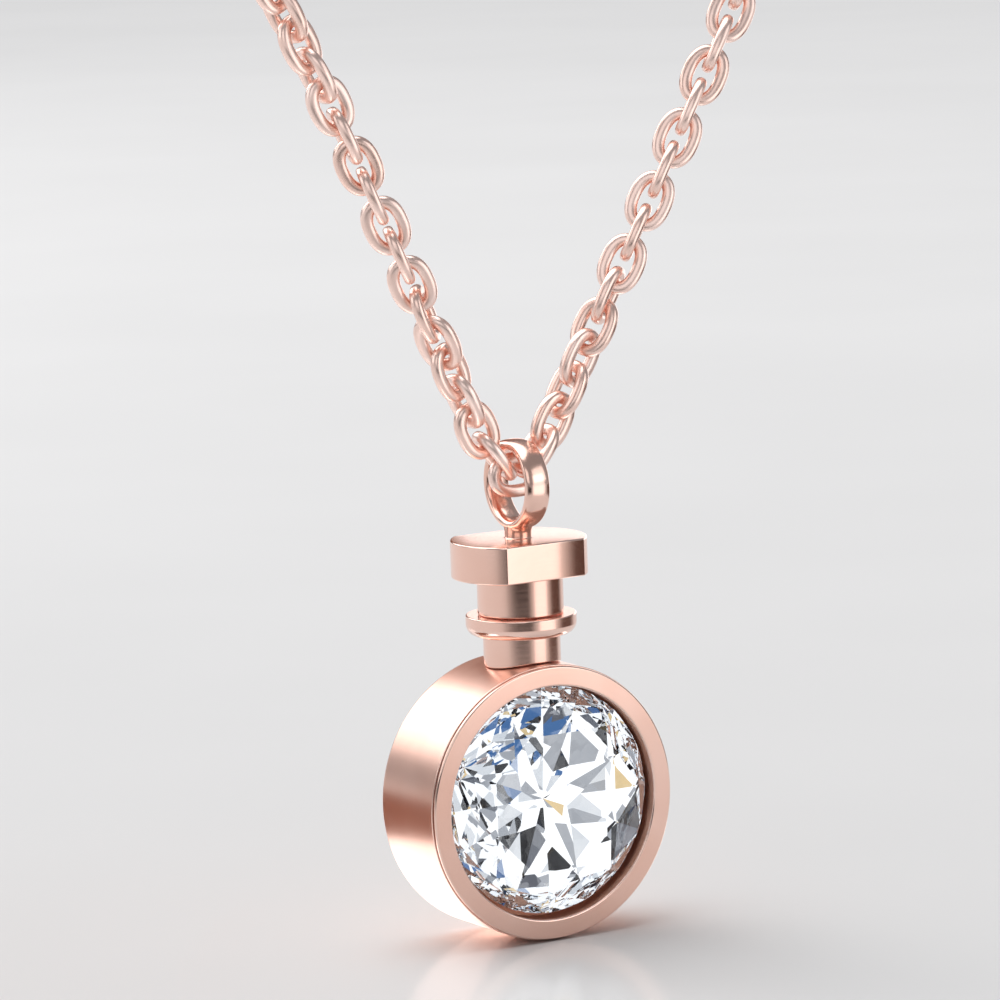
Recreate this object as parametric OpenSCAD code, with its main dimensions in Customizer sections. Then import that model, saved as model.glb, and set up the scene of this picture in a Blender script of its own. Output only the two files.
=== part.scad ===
// Bottle-shaped pendant on a cable chain, in rose gold coloured steel, as it hangs when worn.
// The origin is at the nape of the neck, +Z is up and the stone faces -Y.
// The pendant is drawn from the centre of its eye ring downwards.

/* [Drum case] */
// Diameter of the drum
case_d = 14; // [12:0.5:17]
// Depth of the drum from the bezel's face to the back
case_depth = 5.3; // [4.9:0.1:6.5]
// Thickness of the closed back
back_t = 0.5; // [0.4:0.05:0.8]
// Rounding of the back edge
back_edge = 0.25; // [0.15:0.05:0.4]
// Wall of the drum round the bezel's sleeve
case_wall = 0.5; // [0.4:0.05:0.7]

/* [Bezel] */
// Width of the flat face
bezel_w = 1.05; // [0.95:0.05:1.4]
// Thickness of the face ring
bezel_t = 0.5; // [0.4:0.05:0.6]
// How far the face ring lies inside the drum's outline
bezel_step = 0.06; // [0.04:0.01:0.12]
// Rounding of the face's two edges
bezel_edge = 0.07; // [0.05:0.01:0.12]

/* [Stone] */
// Gap round the girdle
stone_ring_gap = 0.25; // [0.15:0.05:0.4]
// How far the girdle lies behind the bezel's face
girdle_recess = 0.7; // [0.6:0.05:0.9]
// Thickness of the girdle
girdle_t = 0.25; // [0.15:0.05:0.35]
// Height of the crown over the girdle
crown_h = 0.95; // [0.7:0.05:1.2]
// Free space behind the pavilion's tip
culet_gap = 0.15; // [0.1:0.05:0.3]
// Width of the seat under the pavilion's edge
seat_w = 0.35; // [0.25:0.05:0.5]
// Gap between the pavilion and its seat
seat_gap = 0.08; // [0.05:0.01:0.12]

/* [Neck] */
// Diameter of the lower neck
lower_neck_d = 3.9; // [3.4:0.1:4.6]
// Height of the lower neck over the drum's top
lower_neck_h = 1.34; // [1.2:0.02:1.8]
// Diameter of the collar
collar_d = 5.6; // [5.2:0.1:6.4]
// Height of the collar
collar_h = 1.03; // [0.9:0.01:1.3]
// Radius of the collar's lower edge
collar_round = 0.6; // [0.4:0.05:0.7]
// Diameter of the spigots in the drum and in the collar
spigot_d = 2; // [1.6:0.1:2.4]
// Length of the spigot in the drum
case_spigot_l = 1; // [0.8:0.05:1.1]
// Length of the stopper's spigot in the collar
stopper_spigot_l = 1.4; // [1:0.1:1.8]

/* [Stopper] */
// Diameter of the upper neck
upper_neck_d = 4.35; // [3.8:0.05:4.9]
// Height of the upper neck
upper_neck_h = 1.95; // [1.5:0.05:2.4]
// Diameter of the cap
cap_d = 6.9; // [6.4:0.1:7.6]
// Depth of the cap between its two flats
cap_depth = 5.24; // [5:0.02:5.8]
// Height of the cap
cap_h = 1.9; // [1.5:0.1:2.4]
// Bevel round the cap's two rims
cap_edge = 0.1; // [0.05:0.01:0.15]
// Diameter of the post under the eye ring
post_d = 1.35; // [1.1:0.05:1.6]
// Visible height of the post
post_h = 0.42; // [0.3:0.02:0.6]

/* [Eye ring] */
// Outer diameter of the eye ring
eye_d = 4.6; // [4.4:0.1:5.2]
// Bore that the chain runs through
eye_bore_d = 3.5; // [3.4:0.05:3.8]
// Width of the band
eye_w = 1.4; // [1.2:0.05:1.5]
// How much lower the domed band is at its sides
eye_dome = 0.16; // [0.08:0.02:0.2]
// Bevel at the ends of the bore
eye_edge = 0.22; // [0.18:0.01:0.25]

/* [Chain] */
// Outer length of a link
link_l = 3.1; // [3:0.05:3.4]
// Outer width of a link
link_w = 2.3; // [2.2:0.05:2.4]
// Diameter of the wire
wire_d = 0.62; // [0.5:0.02:0.64]
// Free space between two links that hold each other
link_gap = 0.12; // [0.11:0.01:0.15]
// Slope of the first link beside the eye, in degrees from level
first_slope = 52; // [50:1:54]

/* [Loop] */
// Width of the loop between the two strands' centres
loop_w = 114; // [106:1:122]
// Distance from the nape forward to the eye ring
loop_reach = 100; // [94:1:108]
// Height of the nape over the eye ring
loop_drop = 78; // [72:1:84]

/* [Clasp] */
// Outer diameter of the clasp's ring
clasp_d = 5.5; // [5:0.5:7]
// Thickness of the clasp's ring
clasp_t = 0.75; // [0.6:0.05:0.8]
// Outer diameter of the clasp's small eye
tail_d = 2.6; // [2.5:0.1:3.2]
// Wire of the clasp's small eye
tail_t = 0.6; // [0.5:0.05:0.65]

/* [Fit] */
// Gap between pieces that sit on or in each other
fit_gap = 0.05; // [0.03:0.01:0.08]

/* [Hidden] */
steel = [0.88, 0.67, 0.59];

// The chain's way on the +X side, from the eye ring's centre up and back to the nape,
// as shares of half the loop's width, its reach and its drop
route = [for (p = [[0, 1, 1], [0.214, 1.018, 0.7115], [0.421, 1.012, 0.436], [0.658, 0.935, 0.2436],
    [0.877, 0.79, 0.141], [1, 0.61, 0.09], [1, 0.41, 0.0577], [0.86, 0.22, 0.032], [0.6, 0.08, 0.013]])
    [p[0] * loop_w / 2, -p[1] * loop_reach, -p[2] * loop_drop]];
eye_at = route[0];
route_steps = 24;

// Slow turn of the links about the chain: pairs of a link's number from the eye and degrees.
// From the last pair on, the turn goes evenly to the one that is square to the clasp.
turns_left = [[1, -6], [2, -3], [4, 18], [7, 64], [8, 67], [11, 67], [15, 112]];
turns_right = [[1, 8], [2, 9], [4, 18], [7, 56], [16, 57]];
clasp_turn_left = 180;
clasp_turn_right = 0;
link_turn = 90;

// Heights below the eye ring's centre
cap_top = -eye_d / 2 - post_h;
cap_bottom = cap_top - cap_h;
collar_top = cap_bottom - upper_neck_h;
collar_bottom = collar_top - collar_h;
case_z = collar_bottom - lower_neck_h - case_d / 2;

// Radii and depths inside the drum, counted from its middle towards the front
face_front = case_depth / 2;
face_back = face_front - bezel_t;
hole_r = case_d / 2 - bezel_w;
sleeve_r = case_d / 2 - case_wall - fit_gap;
stone_r = hole_r - stone_ring_gap;
girdle_front = face_front - girdle_recess;
pavilion_top = girdle_front - girdle_t;
back_inside = -face_front + back_t;
pavilion_h = pavilion_top - back_inside - culet_gap;
seat_r = stone_r - seat_w;

// The stone's facets run out to a girdle polygon just outside the round girdle
facets = 8;
facet_step = 360 / facets;
cut_r = stone_r / cos(facet_step / 4) + 0.01;
table_r = 0.65 * stone_r;
star_r = table_r * cos(facet_step / 2) * sqrt(2);
lower_r = 0.22 * stone_r;
star_z = crown_h * (cut_r - star_r * cos(facet_step / 2)) / (cut_r - table_r);
lower_z = -pavilion_h * (1 - lower_r * cos(facet_step / 2) / cut_r);
seat_front = pavilion_top + lower_z * (cut_r - seat_r) / (cut_r - lower_r) - seat_gap;

// Distances along a link: to its end wire, and between the end wires of two joined links
end_reach = (link_l - wire_d) / 2;
end_hook = wire_d + link_gap;

function arc(centre, r, from, to, steps = 5) =
    [for (i = [0:steps]) let (a = from + (to - from) * i / steps) centre + r * [cos(a), sin(a)]];
function ring_points(r, z, count, shift = 0) =
    [for (i = [0:count - 1]) let (a = shift + i * 360 / count) [r * cos(a), r * sin(a), z]];
function unit(v) = v / norm(v);

// Drum, bezel and stone are turned about the Y axis: a profile is [radius, distance to the front]
module turned_to_front(profile) {
    translate([0, 0, case_z])
        rotate([90, 0, 0])
            rotate_extrude($fn = 96)
                polygon(profile);
}

module drum_case() {
    color(steel)
        translate(eye_at)
            difference() {
                turned_to_front(concat(
                    [[0, -face_front]],
                    arc([case_d / 2 - back_edge, back_edge - face_front], back_edge, -90, 0),
                    [[case_d / 2, face_back - fit_gap],
                     [sleeve_r + fit_gap, face_back - fit_gap],
                     [sleeve_r + fit_gap, seat_front],
                     [seat_r, seat_front],
                     [seat_r, back_inside],
                     [0, back_inside]]));
                translate([0, 0, case_z + case_d / 2 - case_spigot_l - fit_gap])
                    cylinder(d = spigot_d + 2 * fit_gap, h = case_spigot_l + 1, $fn = 48);
            }
}

module bezel() {
    outer_r = case_d / 2 - bezel_step;
    color(steel)
        translate(eye_at)
            turned_to_front(concat(
                [[hole_r, seat_front + fit_gap]],
                arc([hole_r + bezel_edge, face_front - bezel_edge], bezel_edge, 180, 90, 3),
                arc([outer_r - bezel_edge, face_front - bezel_edge], bezel_edge, 90, 0, 3),
                [[outer_r, face_back],
                 [sleeve_r, face_back],
                 [sleeve_r, seat_front + fit_gap]]));
}

// Round brilliant cut: the facets' polyhedron, trimmed to a round girdle
module stone() {
    half = facet_step / 2;
    quarter = facet_step / 4;
    n = facets;
    tables = 0;
    stars = n;
    tops = 2 * n;
    bottoms = 4 * n;
    lowers = 6 * n;
    tip = lowers + n;
    points = concat(
        ring_points(table_r, crown_h, n, half),
        ring_points(star_r, star_z, n),
        ring_points(cut_r, 0, 2 * n),
        ring_points(cut_r, -girdle_t, 2 * n),
        ring_points(lower_r, lower_z - girdle_t, n),
        [[0, 0, -pavilion_h - girdle_t]]);
    faces = concat(
        [[for (i = [n - 1:-1:0]) tables + i]],
        [for (i = [0:n - 1]) [stars + i, tables + (i + n - 1) % n, tables + i]],
        [for (i = [0:n - 1]) [tables + i, stars + i, tops + 2 * i + 1, stars + (i + 1) % n]],
        [for (i = [0:n - 1]) [stars + i, tops + 2 * i, tops + 2 * i + 1]],
        [for (i = [0:n - 1]) [stars + i, tops + (2 * i + 2 * n - 1) % (2 * n), tops + 2 * i]],
        [for (i = [0:2 * n - 1]) let (j = (i + 1) % (2 * n))
            [tops + i, bottoms + i, bottoms + j, tops + j]],
        [for (i = [0:n - 1]) [lowers + i, bottoms + 2 * i + 1, bottoms + 2 * i]],
        [for (i = [0:n - 1]) [lowers + i, bottoms + 2 * i, bottoms + (2 * i + 2 * n - 1) % (2 * n)]],
        [for (i = [0:n - 1]) [tip, lowers + (i + 1) % n, bottoms + 2 * i + 1, lowers + i]]);
    color("white")
        translate(eye_at + [0, 0, case_z])
            rotate([90, 0, 0])
                translate([0, 0, girdle_front])
                    intersection() {
                        polyhedron(points, faces);
                        translate([0, 0, -pavilion_h - girdle_t - 1])
                            cylinder(r = stone_r, h = pavilion_h + girdle_t + crown_h + 2, $fn = 96);
                    }
}

module neck() {
    neck_r = lower_neck_d / 2;
    collar_r = collar_d / 2;
    case_top = case_z + case_d / 2;
    color(steel)
        translate(eye_at)
            difference() {
                union() {
                    difference() {
                        rotate_extrude($fn = 72)
                            polygon(concat(
                                [[0, case_top - 1], [neck_r, case_top - 1], [neck_r, collar_bottom]],
                                arc([collar_r - collar_round, collar_bottom + collar_round],
                                    collar_round, -90, 0, 6),
                                [[collar_r, collar_top - cap_edge],
                                 [collar_r - cap_edge, collar_top],
                                 [0, collar_top]]));
                        translate([0, 0, case_z])
                            rotate([90, 0, 0])
                                cylinder(r = case_d / 2 + fit_gap, h = case_depth + 2,
                                    center = true, $fn = 96);
                    }
                    translate([0, 0, case_top - case_spigot_l])
                        cylinder(d = spigot_d, h = case_spigot_l + lower_neck_h / 2, $fn = 48);
                }
                translate([0, 0, collar_top - stopper_spigot_l - fit_gap])
                    cylinder(d = spigot_d + 2 * fit_gap, h = stopper_spigot_l + 1, $fn = 48);
            }
}

module cap() {
    cap_r = cap_d / 2;
    intersection() {
        rotate_extrude($fn = 96)
            polygon([[0, cap_bottom], [cap_r - cap_edge, cap_bottom], [cap_r, cap_bottom + cap_edge],
                [cap_r, cap_top - cap_edge], [cap_r - cap_edge, cap_top], [0, cap_top]]);
        translate([-cap_r - 1, -cap_depth / 2, cap_bottom - 1])
            cube([cap_d + 2, cap_depth, cap_h + 2]);
    }
}

module eye_ring() {
    half_w = eye_w / 2;
    bore_r = eye_bore_d / 2;
    rotate([0, 90, 0])
        rotate_extrude($fn = 72)
            polygon(concat(
                [[bore_r, half_w - eye_edge], [bore_r, eye_edge - half_w], [bore_r + eye_edge, -half_w]],
                [for (x = [-1:0.25:1]) [eye_d / 2 - eye_dome * x * x, x * half_w]],
                [[bore_r + eye_edge, half_w]]));
}

module stopper() {
    color(steel)
        translate(eye_at) {
            translate([0, 0, collar_top + fit_gap])
                cylinder(d = upper_neck_d, h = upper_neck_h, $fn = 72);
            translate([0, 0, collar_top - stopper_spigot_l])
                cylinder(d = spigot_d, h = stopper_spigot_l + 1, $fn = 48);
            cap();
            difference() {
                translate([0, 0, cap_top - cap_edge])
                    cylinder(d = post_d, h = post_h + cap_edge + eye_d / 4, $fn = 48);
                rotate([0, 90, 0])
                    cylinder(d = eye_bore_d + 2 * eye_edge, h = 2 * eye_w, center = true, $fn = 72);
            }
            eye_ring();
        }
}

// A link lies in the XY plane along X: two half rings and two straight wires
module link() {
    for (end = [-1, 1]) {
        translate([end * (link_l - link_w) / 2, 0, 0])
            rotate([0, 0, -end * 90])
                rotate_extrude(angle = 180, $fn = 32)
                    translate([(link_w - wire_d) / 2, 0])
                        circle(d = wire_d, $fn = 24);
        translate([0, end * (link_w - wire_d) / 2, 0])
            rotate([0, 90, 0])
                cylinder(d = wire_d, h = link_l - link_w, center = true, $fn = 24);
    }
}

// Puts a link at a point, its length along one direction and its flat side turned to the other
module link_at(at, along, facing, turn) {
    x = unit(along);
    z = unit(facing - (facing * x) * x);
    y = cross(z, x);
    multmatrix([[x[0], y[0], z[0], at[0]], [x[1], y[1], z[1], at[1]], [x[2], y[2], z[2], at[2]]])
        rotate([turn, 0, 0])
            link();
}

// The links nearest the eye: one through it, then two bent upwards beside it
eye_link = eye_at + [0, 0, eye_bore_d / 2 - link_gap - link_w / 2];
slope_way = [cos(first_slope), 0, sin(first_slope)];
first_link = eye_link + [(link_l - link_w) / 2, 0, 0]
    + slope_way * ((link_w - wire_d) / 2 - end_hook + end_reach);
first_end = first_link + slope_way * end_reach;
second_link = first_end + unit(route[1] - first_end) * (end_reach - end_hook);

// The clasp's two inner edges lie at equal distances from the middle of the nape
clasp_r = (clasp_d - clasp_t) / 2;
tail_r = (tail_d - tail_t) / 2;
clasp_shift = tail_r + (clasp_t - tail_t) / 4;
clasp_end = clasp_shift + clasp_r - clasp_t / 2;
last_link = [clasp_end - link_gap - wire_d / 2 + end_reach, 0, 0];

// A smooth curve through the second link, the route's points and the last link
knots = concat([second_link], [for (i = [1:len(route) - 1]) route[i]], [last_link]);
spans = len(knots) - 1;
function knot(i) =
    i < 0 ? 2 * knots[0] - knots[1] :
    i > spans ? [-knots[spans - 1][0], knots[spans - 1][1], knots[spans - 1][2]] : knots[i];
function curve_point(i, t) =
    let (a = knot(i - 1), b = knot(i), c = knot(i + 1), d = knot(i + 2))
    b + 0.5 * t * ((c - a) + t * ((2 * a - 5 * b + 4 * c - d) + t * (3 * b - a - 3 * c + d)));
curve = [for (i = [0:spans - 1], k = [0:route_steps - 1]) curve_point(i, k / route_steps), knots[spans]];
function lengths(i = 0, so_far = 0) =
    i == len(curve) ? [] :
    let (here = i == 0 ? 0 : so_far + norm(curve[i] - curve[i - 1])) concat([here], lengths(i + 1, here));
curve_length = lengths();
strand_l = curve_length[len(curve) - 1];

// The links' spacing is stretched or slackened a little, so that the end link stands square to the clasp
straight_pitch = link_l - 2 * wire_d - link_gap;
link_steps = 2 * ceil((strand_l / straight_pitch - 1) / 2) + 1;
link_pitch = strand_l / link_steps;
function along_curve(s) =
    let (at = lookup(s, [for (i = [0:len(curve) - 1]) [curve_length[i], i]]),
        i = min(floor(at), len(curve) - 2))
    curve[i] + (at - i) * (curve[i + 1] - curve[i]);
// Away from the neck: forwards at the eye, sideways at the shoulders, backwards at the nape
function outwards(share) = let (a = 180 * share * share * (3 - 2 * share)) [sin(a), -cos(a), 0];

module strand(turns, clasp_turn) {
    all_turns = concat(turns, [[link_steps + 2, clasp_turn]]);
    link_at(first_link, slope_way, [0, -1, 0], link_turn + lookup(1, all_turns));
    for (k = [0:link_steps]) {
        s = k * link_pitch;
        before = along_curve(max(s - end_reach, 0));
        after = along_curve(min(s + end_reach, strand_l));
        link_at(along_curve(s), after - before, outwards(k / link_steps),
            link_turn * (k + 2) + lookup(k + 2, all_turns));
    }
}

module chain_right() {
    color(steel) {
        link_at(eye_link, [1, 0, 0], [0, -1, 0], 0);
        strand(turns_right, clasp_turn_right);
    }
}

module chain_left() {
    color(steel)
        mirror([1, 0, 0])
            strand([for (t = turns_left) [t[0], -t[1]]], -clasp_turn_left);
}

// A closed ring with a small eye, flat against the nape
module clasp() {
    color(steel)
        translate([clasp_shift, 0, 0])
            rotate([90, 0, 0]) {
                rotate_extrude($fn = 64)
                    translate([clasp_r, 0])
                        circle(d = clasp_t, $fn = 32);
                translate([-clasp_r - tail_r, 0, 0])
                    rotate_extrude($fn = 48)
                        translate([tail_r, 0])
                            circle(d = tail_t, $fn = 24);
            }
}

drum_case();
bezel();
stone();
neck();
stopper();
chain_left();
chain_right();
clasp();
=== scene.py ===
# %% [markdown]
# # A bottle-shaped pendant on its chain, dressed for its picture
#
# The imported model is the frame: its pieces, places and sizes are fixed. This script builds the
# visible pieces round it, in metres, gives them rose gold, a clear cut stone and soft studio
# light, and puts the camera where the photographer stood. Each step says first what the piece is
# on the real pendant and why it is made the way it is.

# %% Load the frame
import math

import bpy
import numpy as np
from mathutils import Matrix, Vector


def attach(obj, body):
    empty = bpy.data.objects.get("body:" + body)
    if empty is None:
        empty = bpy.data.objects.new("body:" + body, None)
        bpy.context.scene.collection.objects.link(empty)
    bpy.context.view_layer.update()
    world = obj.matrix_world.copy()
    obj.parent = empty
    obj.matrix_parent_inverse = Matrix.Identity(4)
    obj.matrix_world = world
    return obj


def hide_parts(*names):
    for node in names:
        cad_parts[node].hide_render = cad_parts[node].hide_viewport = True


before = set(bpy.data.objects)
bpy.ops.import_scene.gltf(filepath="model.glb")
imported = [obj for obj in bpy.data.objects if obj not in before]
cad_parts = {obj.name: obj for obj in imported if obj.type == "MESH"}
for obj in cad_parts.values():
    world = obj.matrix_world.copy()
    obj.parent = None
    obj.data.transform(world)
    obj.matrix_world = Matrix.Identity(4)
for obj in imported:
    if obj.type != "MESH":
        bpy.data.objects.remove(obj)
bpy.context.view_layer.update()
MM = 0.001
print("nodes:", sorted(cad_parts))

# %% [markdown]
# The pendant hangs below the centre of its eye ring, so heights on it are counted from there, as
# a bench drawing would. The drum's axis runs from front to back: its own origin is the middle of
# the drum. All sizes below are millimetres, and they are the sizes of the solids unless a note says
# otherwise.

# %% Main sizes of the pendant
EYE = np.array([0.0, -100.0, -78.0])
CASE_D, CASE_DEPTH = 14.0, 5.3
CAP_TOP, CAP_H = -2.72, 1.9
UPPER_NECK_H, COLLAR_H, LOWER_NECK_H = 1.95, 1.03, 1.34
CAP_BOTTOM = CAP_TOP - CAP_H
COLLAR_TOP = CAP_BOTTOM - UPPER_NECK_H
COLLAR_BOTTOM = COLLAR_TOP - COLLAR_H
CASE_Z = COLLAR_BOTTOM - LOWER_NECK_H - CASE_D / 2
CASE = EYE + [0, 0, CASE_Z]
print("middle of the drum:", CASE.round(2))

# %% [markdown]
# ## The camera
#
# The photograph looks at the pendant from its left and a little from above, through a long lens.
# The three angles, the distance and the pixel of the drum's middle come from a fit to the
# outlines of the drum, cap, necks and eye ring. A camera that is aimed by its own three axes needs
# no target object, and its lens follows from the distance and the width that the frame covers.

# %% Camera at the photograph's angle
AZIMUTH, ELEVATION, ROLL = (math.radians(v) for v in (-30.64, 8.52, -1.96))
CAMERA_DISTANCE, SENSOR_WIDTH = 300.0, 36
FRAME_WIDTH, FRAME_PIXELS = 50.6, 1000
CASE_PIXEL = (527.0, 795.2)

back = Vector((math.sin(AZIMUTH) * math.cos(ELEVATION),
               -math.cos(AZIMUTH) * math.cos(ELEVATION), math.sin(ELEVATION)))
level = Vector((math.cos(AZIMUTH), math.sin(AZIMUTH), 0))
upright = back.cross(level)
right = level * math.cos(ROLL) + upright * math.sin(ROLL)
up = upright * math.cos(ROLL) - level * math.sin(ROLL)
off_x = (CASE_PIXEL[0] - FRAME_PIXELS / 2) / FRAME_PIXELS * FRAME_WIDTH
off_y = (FRAME_PIXELS / 2 - CASE_PIXEL[1]) / FRAME_PIXELS * FRAME_WIDTH

camera = bpy.data.objects.new("camera", bpy.data.cameras.new("camera"))
bpy.context.scene.collection.objects.link(camera)
bpy.context.scene.camera = camera
camera.data.sensor_width = SENSOR_WIDTH
camera.data.lens = SENSOR_WIDTH * CAMERA_DISTANCE / FRAME_WIDTH
camera.data.clip_start, camera.data.clip_end = 0.01, 20
camera.location = (Vector(CASE) - right * off_x - up * off_y + back * CAMERA_DISTANCE) * MM
camera.rotation_mode = "QUATERNION"
camera.rotation_quaternion = Matrix((right, up, back)).transposed().to_quaternion()
print("lens", round(camera.data.lens, 1), "mm, camera at", [round(v, 3) for v in camera.location])

# %% [markdown]
# ## Shader maths that reads like maths
#
# A shader tree is a sum written with boxes and wires. This small class wraps one output of a node,
# so that `1 - mask * 0.3` adds the Math nodes by itself, and `Bench.node` adds any other node.

# %% A signal and the bench it is wired on
class Signal:
    def __init__(self, bench, socket):
        self.bench, self.socket = bench, socket

    def maths(self, operation, first, second):
        return self.bench.node("ShaderNodeMath", {"operation": operation}, {0: first, 1: second})

    def __add__(self, other):
        return self.maths("ADD", self, other)

    def __radd__(self, other):
        return self.maths("ADD", other, self)

    def __sub__(self, other):
        return self.maths("SUBTRACT", self, other)

    def __rsub__(self, other):
        return self.maths("SUBTRACT", other, self)

    def __mul__(self, other):
        return self.maths("MULTIPLY", self, other)

    def __rmul__(self, other):
        return self.maths("MULTIPLY", other, self)

    def __truediv__(self, other):
        return self.maths("DIVIDE", self, other)

    def root(self):
        return self.maths("SQRT", self, 0.0)


class Bench:
    def __init__(self, name):
        self.material = bpy.data.materials.new(name)
        self.material.use_nodes = True
        self.tree = self.material.node_tree
        self.shader = self.tree.nodes["Principled BSDF"]

    def node(self, kind, settings=None, sockets=None, out=0):
        node = self.tree.nodes.new(kind)
        for key, value in (settings or {}).items():
            if key == "stops":
                for i, (at, colour) in enumerate(value):
                    stops = node.color_ramp.elements
                    stop = stops[i] if i < len(stops) else stops.new(at)
                    stop.position, stop.color = at, colour
            else:
                setattr(node, key, value)
        for key, value in (sockets or {}).items():
            self.join(node.inputs[key], value)
        return Signal(self, node.outputs[out])

    def join(self, socket, value):
        if isinstance(value, Signal):
            self.tree.links.new(value.socket, socket)
        else:
            socket.default_value = value

    def finish(self, **sockets):
        for key, value in sockets.items():
            self.join(self.shader.inputs[key.replace("_", " ")], value)
        return self.material


# %% [markdown]
# ## Rose gold
#
# The metal is steel with a hard rose gold coat. Its colour is the colour of its reflections, so it
# goes into Base Color with Metallic at 1, and no other colour is needed. The coat isn't quite even:
# its shade drifts over a few millimetres, and handling leaves faint smears that change only the
# roughness. A lathe leaves hair-fine rings round its axis. They are a noise whose first coordinate
# is the distance along the profile, squeezed hard, and whose others are the direction round the
# axis, so that a ring has no seam. The rounds on the edges are polished glossiest, because every
# cloth touches them first, and their colour is made lighter as a painted highlight: the mesh
# carries them as an attribute called `edge`.

# %% The coat, with its drift and smears
DRIFT, SMEARS, SAND_GRAINS = 0.2, 0.55, 11.0    # noise scales, in waves for each millimetre
EDGE_GLOSS, SAND_ROUGHENS, RINGS_ROUGHEN = 0.05, 0.15, 0.12
ROSE_LIGHT = (0.95, 0.645, 0.545, 1)
ROSE_DEEP = (0.885, 0.555, 0.45, 1)
# painted highlight: the lighter colour that the rounds on the edges are given
ROSE_EDGE_HIGHLIGHT = (0.97, 0.73, 0.64, 1)


def rose_gold(name, roughness, smear=0.06, grain=0.0, rings=0.0, axis="y", centre=EYE,
              shade=(ROSE_DEEP, ROSE_LIGHT), edge_light=0.6):
    bench = Bench(name)
    place = bench.node("ShaderNodeTexCoord", out="Object")
    local = bench.node("ShaderNodeMapping", {"vector_type": "TEXTURE"},
                       {"Vector": place, "Location": Vector(centre) * MM, "Scale": (MM,) * 3})
    drift = bench.node("ShaderNodeTexNoise", None,
                       {"Vector": local, "Scale": DRIFT, "Detail": 3.0})
    handled = bench.node("ShaderNodeTexNoise", None,
                         {"Vector": local, "Scale": SMEARS, "Detail": 6.0, "Roughness": 0.7})
    coat = bench.node("ShaderNodeValToRGB", {"stops": [(0.32, shade[0]), (0.68, shade[1])]},
                      {"Fac": drift})
    edge = bench.node("ShaderNodeAttribute", {"attribute_name": "edge"}, out="Fac")
    # The rounds marked `edge` are mixed towards the lighter edge colour: a painted highlight.
    colour = bench.node("ShaderNodeMix", {"data_type": "RGBA"},
                        {"Factor": edge * edge_light, 6: coat, 7: ROSE_EDGE_HIGHLIGHT}, out=2)
    rough = roughness + smear * (handled - 0.5) - EDGE_GLOSS * edge
    height = None
    if grain:
        sand = bench.node("ShaderNodeTexNoise", None,
                          {"Vector": local, "Scale": SAND_GRAINS, "Detail": 3.0, "Roughness": 0.7})
        height = sand * grain
        rough = rough + SAND_ROUGHENS * (sand - 0.5)
    if rings:
        hairs = lathe_rings(bench, local, axis)
        height = hairs * rings if height is None else height + hairs * rings
        rough = rough + RINGS_ROUGHEN * (hairs - 0.5)
    if height is not None:
        bench.finish(Normal=bench.node("ShaderNodeBump", None,
                                       {"Height": height, "Strength": 1.0, "Distance": MM}))
    return bench.finish(Base_Color=colour, Metallic=1.0, Roughness=rough)


# %% Rings that a lathe leaves
RING_SQUEEZE, RING_SWAY, RING_SHIFT = 15.0, 2.3, (3.37, 5.61)


def lathe_rings(bench, local, axis):
    parts = [bench.node("ShaderNodeSeparateXYZ", None, {0: local}, out=c) for c in "XYZ"]
    along = parts["xyz".index(axis)]
    across = [part for part, letter in zip(parts, "xyz") if letter != axis]
    radius = (across[0] * across[0] + across[1] * across[1]).root()
    ways = [part / radius for part in across]
    path = bench.node("ShaderNodeCombineXYZ", None,
                      {0: (radius + along) * RING_SQUEEZE, 1: ways[0] * RING_SWAY + RING_SHIFT[0],
                       2: ways[1] * RING_SWAY + RING_SHIFT[1]})
    return bench.node("ShaderNodeTexNoise", None, {"Vector": path, "Scale": 1.0, "Detail": 3.0})


# %% The finishes on this pendant
satin = rose_gold("rose_gold_satin", 0.31, rings=0.0009, centre=CASE)
face = rose_gold("rose_gold_face", 0.23, rings=0.0004, centre=CASE)
# The sanded finish: its deeper, browner colours are painted shade in the recess, on top of real
# sanding.
sanded_shaded = rose_gold("rose_gold_sanded_shaded", 0.42, grain=0.02, centre=CASE, edge_light=0.3,
                   shade=((0.66, 0.36, 0.26, 1), (0.80, 0.47, 0.35, 1)))
polished = rose_gold("rose_gold_polished", 0.19, rings=0.0004, axis="z")
print("finishes:", [m.name for m in bpy.data.materials if m.name.startswith("rose_gold_")])

# %% [markdown]
# ## Turned pieces
#
# Drum, bezel, collar and necks come off a lathe. A lathe piece is a profile that goes round an
# axis, which the Spin tool or a Screw modifier would make too. Every corner of a real turned part
# is broken with a tiny round that catches a line of light, so `eased` puts an arc on each corner of
# a profile and keeps the exact direction that the surface faces at each point. `built_up` carries
# the profile round any outline: a circle for a turned piece, and a circle with two flats for the
# cap. Those exact directions become custom normals, which keep a flat face flat beside its rounds.
# An open profile starts and ends on the axis, and its ends become poles, so the solid is closed.

# %% Profile with eased corners
LEAST_ROUND = 0.015


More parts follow.
